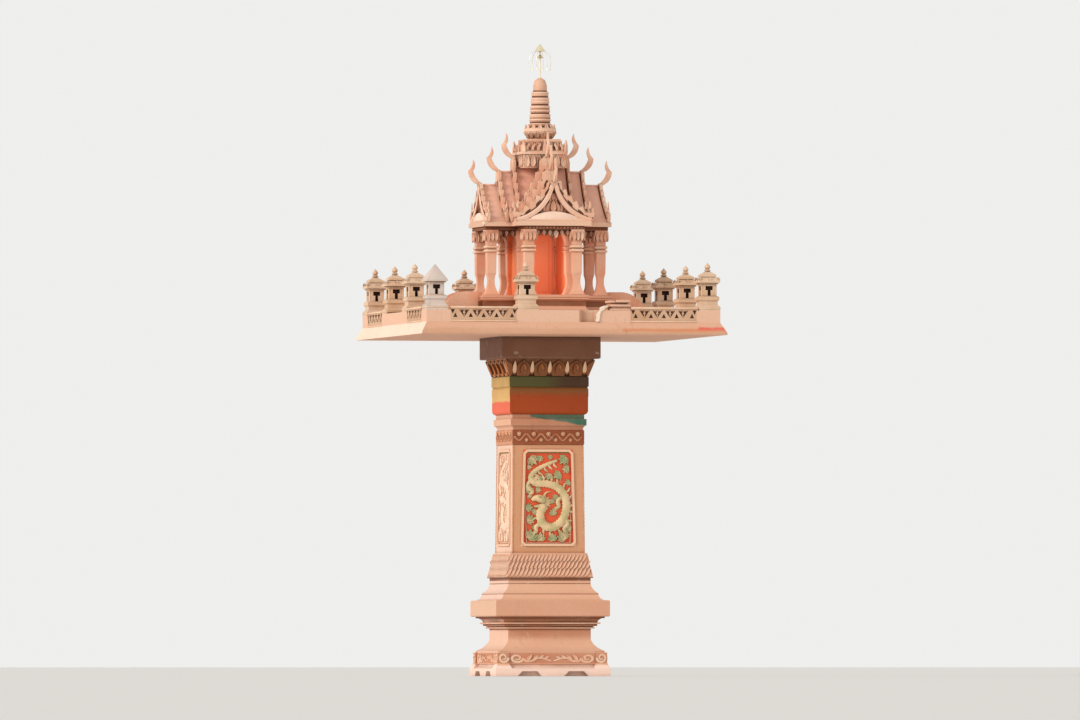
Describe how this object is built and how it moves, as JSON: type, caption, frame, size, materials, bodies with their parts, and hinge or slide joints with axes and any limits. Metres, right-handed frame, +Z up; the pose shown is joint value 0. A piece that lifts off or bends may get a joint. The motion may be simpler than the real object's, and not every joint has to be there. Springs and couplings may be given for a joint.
{
  "type": "spirit house",
  "caption": "Painted cement spirit house on a square pillar, with a railed tray, small pavilions, a cross-roofed open shrine and a ringed spire",
  "frame": {"origin": "centre of the foot's underside, on the ground", "axes": "+Z up, -Y towards the front, +X to the right as seen from the front"},
  "size_m": [1.281, 1.281, 2.611],
  "materials": {
    "terracotta_paint": "matt, weathered salmon-terracotta masonry paint on cast cement",
    "panel_paint": "orange-red ground with green and cream relief inside a terracotta bead",
    "orange_paint": "bright orange-red matt paint inside the sanctum",
    "red_paint": "matt red and yellow paint on the capital's cushion",
    "green_paint": "dull green paint, faded",
    "lotus_paint": "orange-brown petals with worn pale tips",
    "cream_paint": "faded cream and salmon paint",
    "grey_cement": "greyish bare cement with traces of paint",
    "gilt_metal": "dull gilt sheet metal"
  },
  "bodies": {
    "root": {"foot": "terracotta_paint", "pedestal_neck": "terracotta_paint", "belt_slab": "terracotta_paint", "upper_cyma": "terracotta_paint", "carved_skirt": "terracotta_paint", "shaft": "terracotta_paint", "panel_front": "panel_paint", "panel_right": "panel_paint", "panel_back": "panel_paint", "panel_left": "panel_paint", "bead_band": "terracotta_paint", "collar": "terracotta_paint", "cushion": "red_paint", "capital_fillet": "green_paint", "lotus_petals": "lotus_paint", "capital_slab": "terracotta_paint", "tray": "terracotta_paint", "deck": "terracotta_paint", "fence_front": "terracotta_paint", "fence_right": "terracotta_paint", "fence_back": "terracotta_paint", "fence_left": "terracotta_paint", "rim_pavilions": "cream_paint", "corner_pavilions": "cream_paint", "grey_pavilion": "grey_cement", "broken_plinth": "terracotta_paint", "shrine_base": "terracotta_paint", "stair_right": "terracotta_paint", "stair_back": "terracotta_paint", "stair_left": "terracotta_paint", "columns": "terracotta_paint", "core_posts": "terracotta_paint", "sanctum_wall_right": "orange_paint", "sanctum_wall_back": "orange_paint", "sanctum_wall_left": "orange_paint", "valances": "terracotta_paint", "architrave": "terracotta_paint", "eave_slab": "terracotta_paint", "roof_lower": "terracotta_paint", "roof_middle": "terracotta_paint", "roof_upper": "terracotta_paint", "gable_front": "terracotta_paint", "gable_right": "terracotta_paint", "gable_back": "terracotta_paint", "gable_left": "terracotta_paint", "ridge_horns": "terracotta_paint", "spire_base": "terracotta_paint", "spire_bell": "terracotta_paint", "spire_rings": "terracotta_paint", "umbrella": "gilt_metal"}
  },
  "joints": []
}
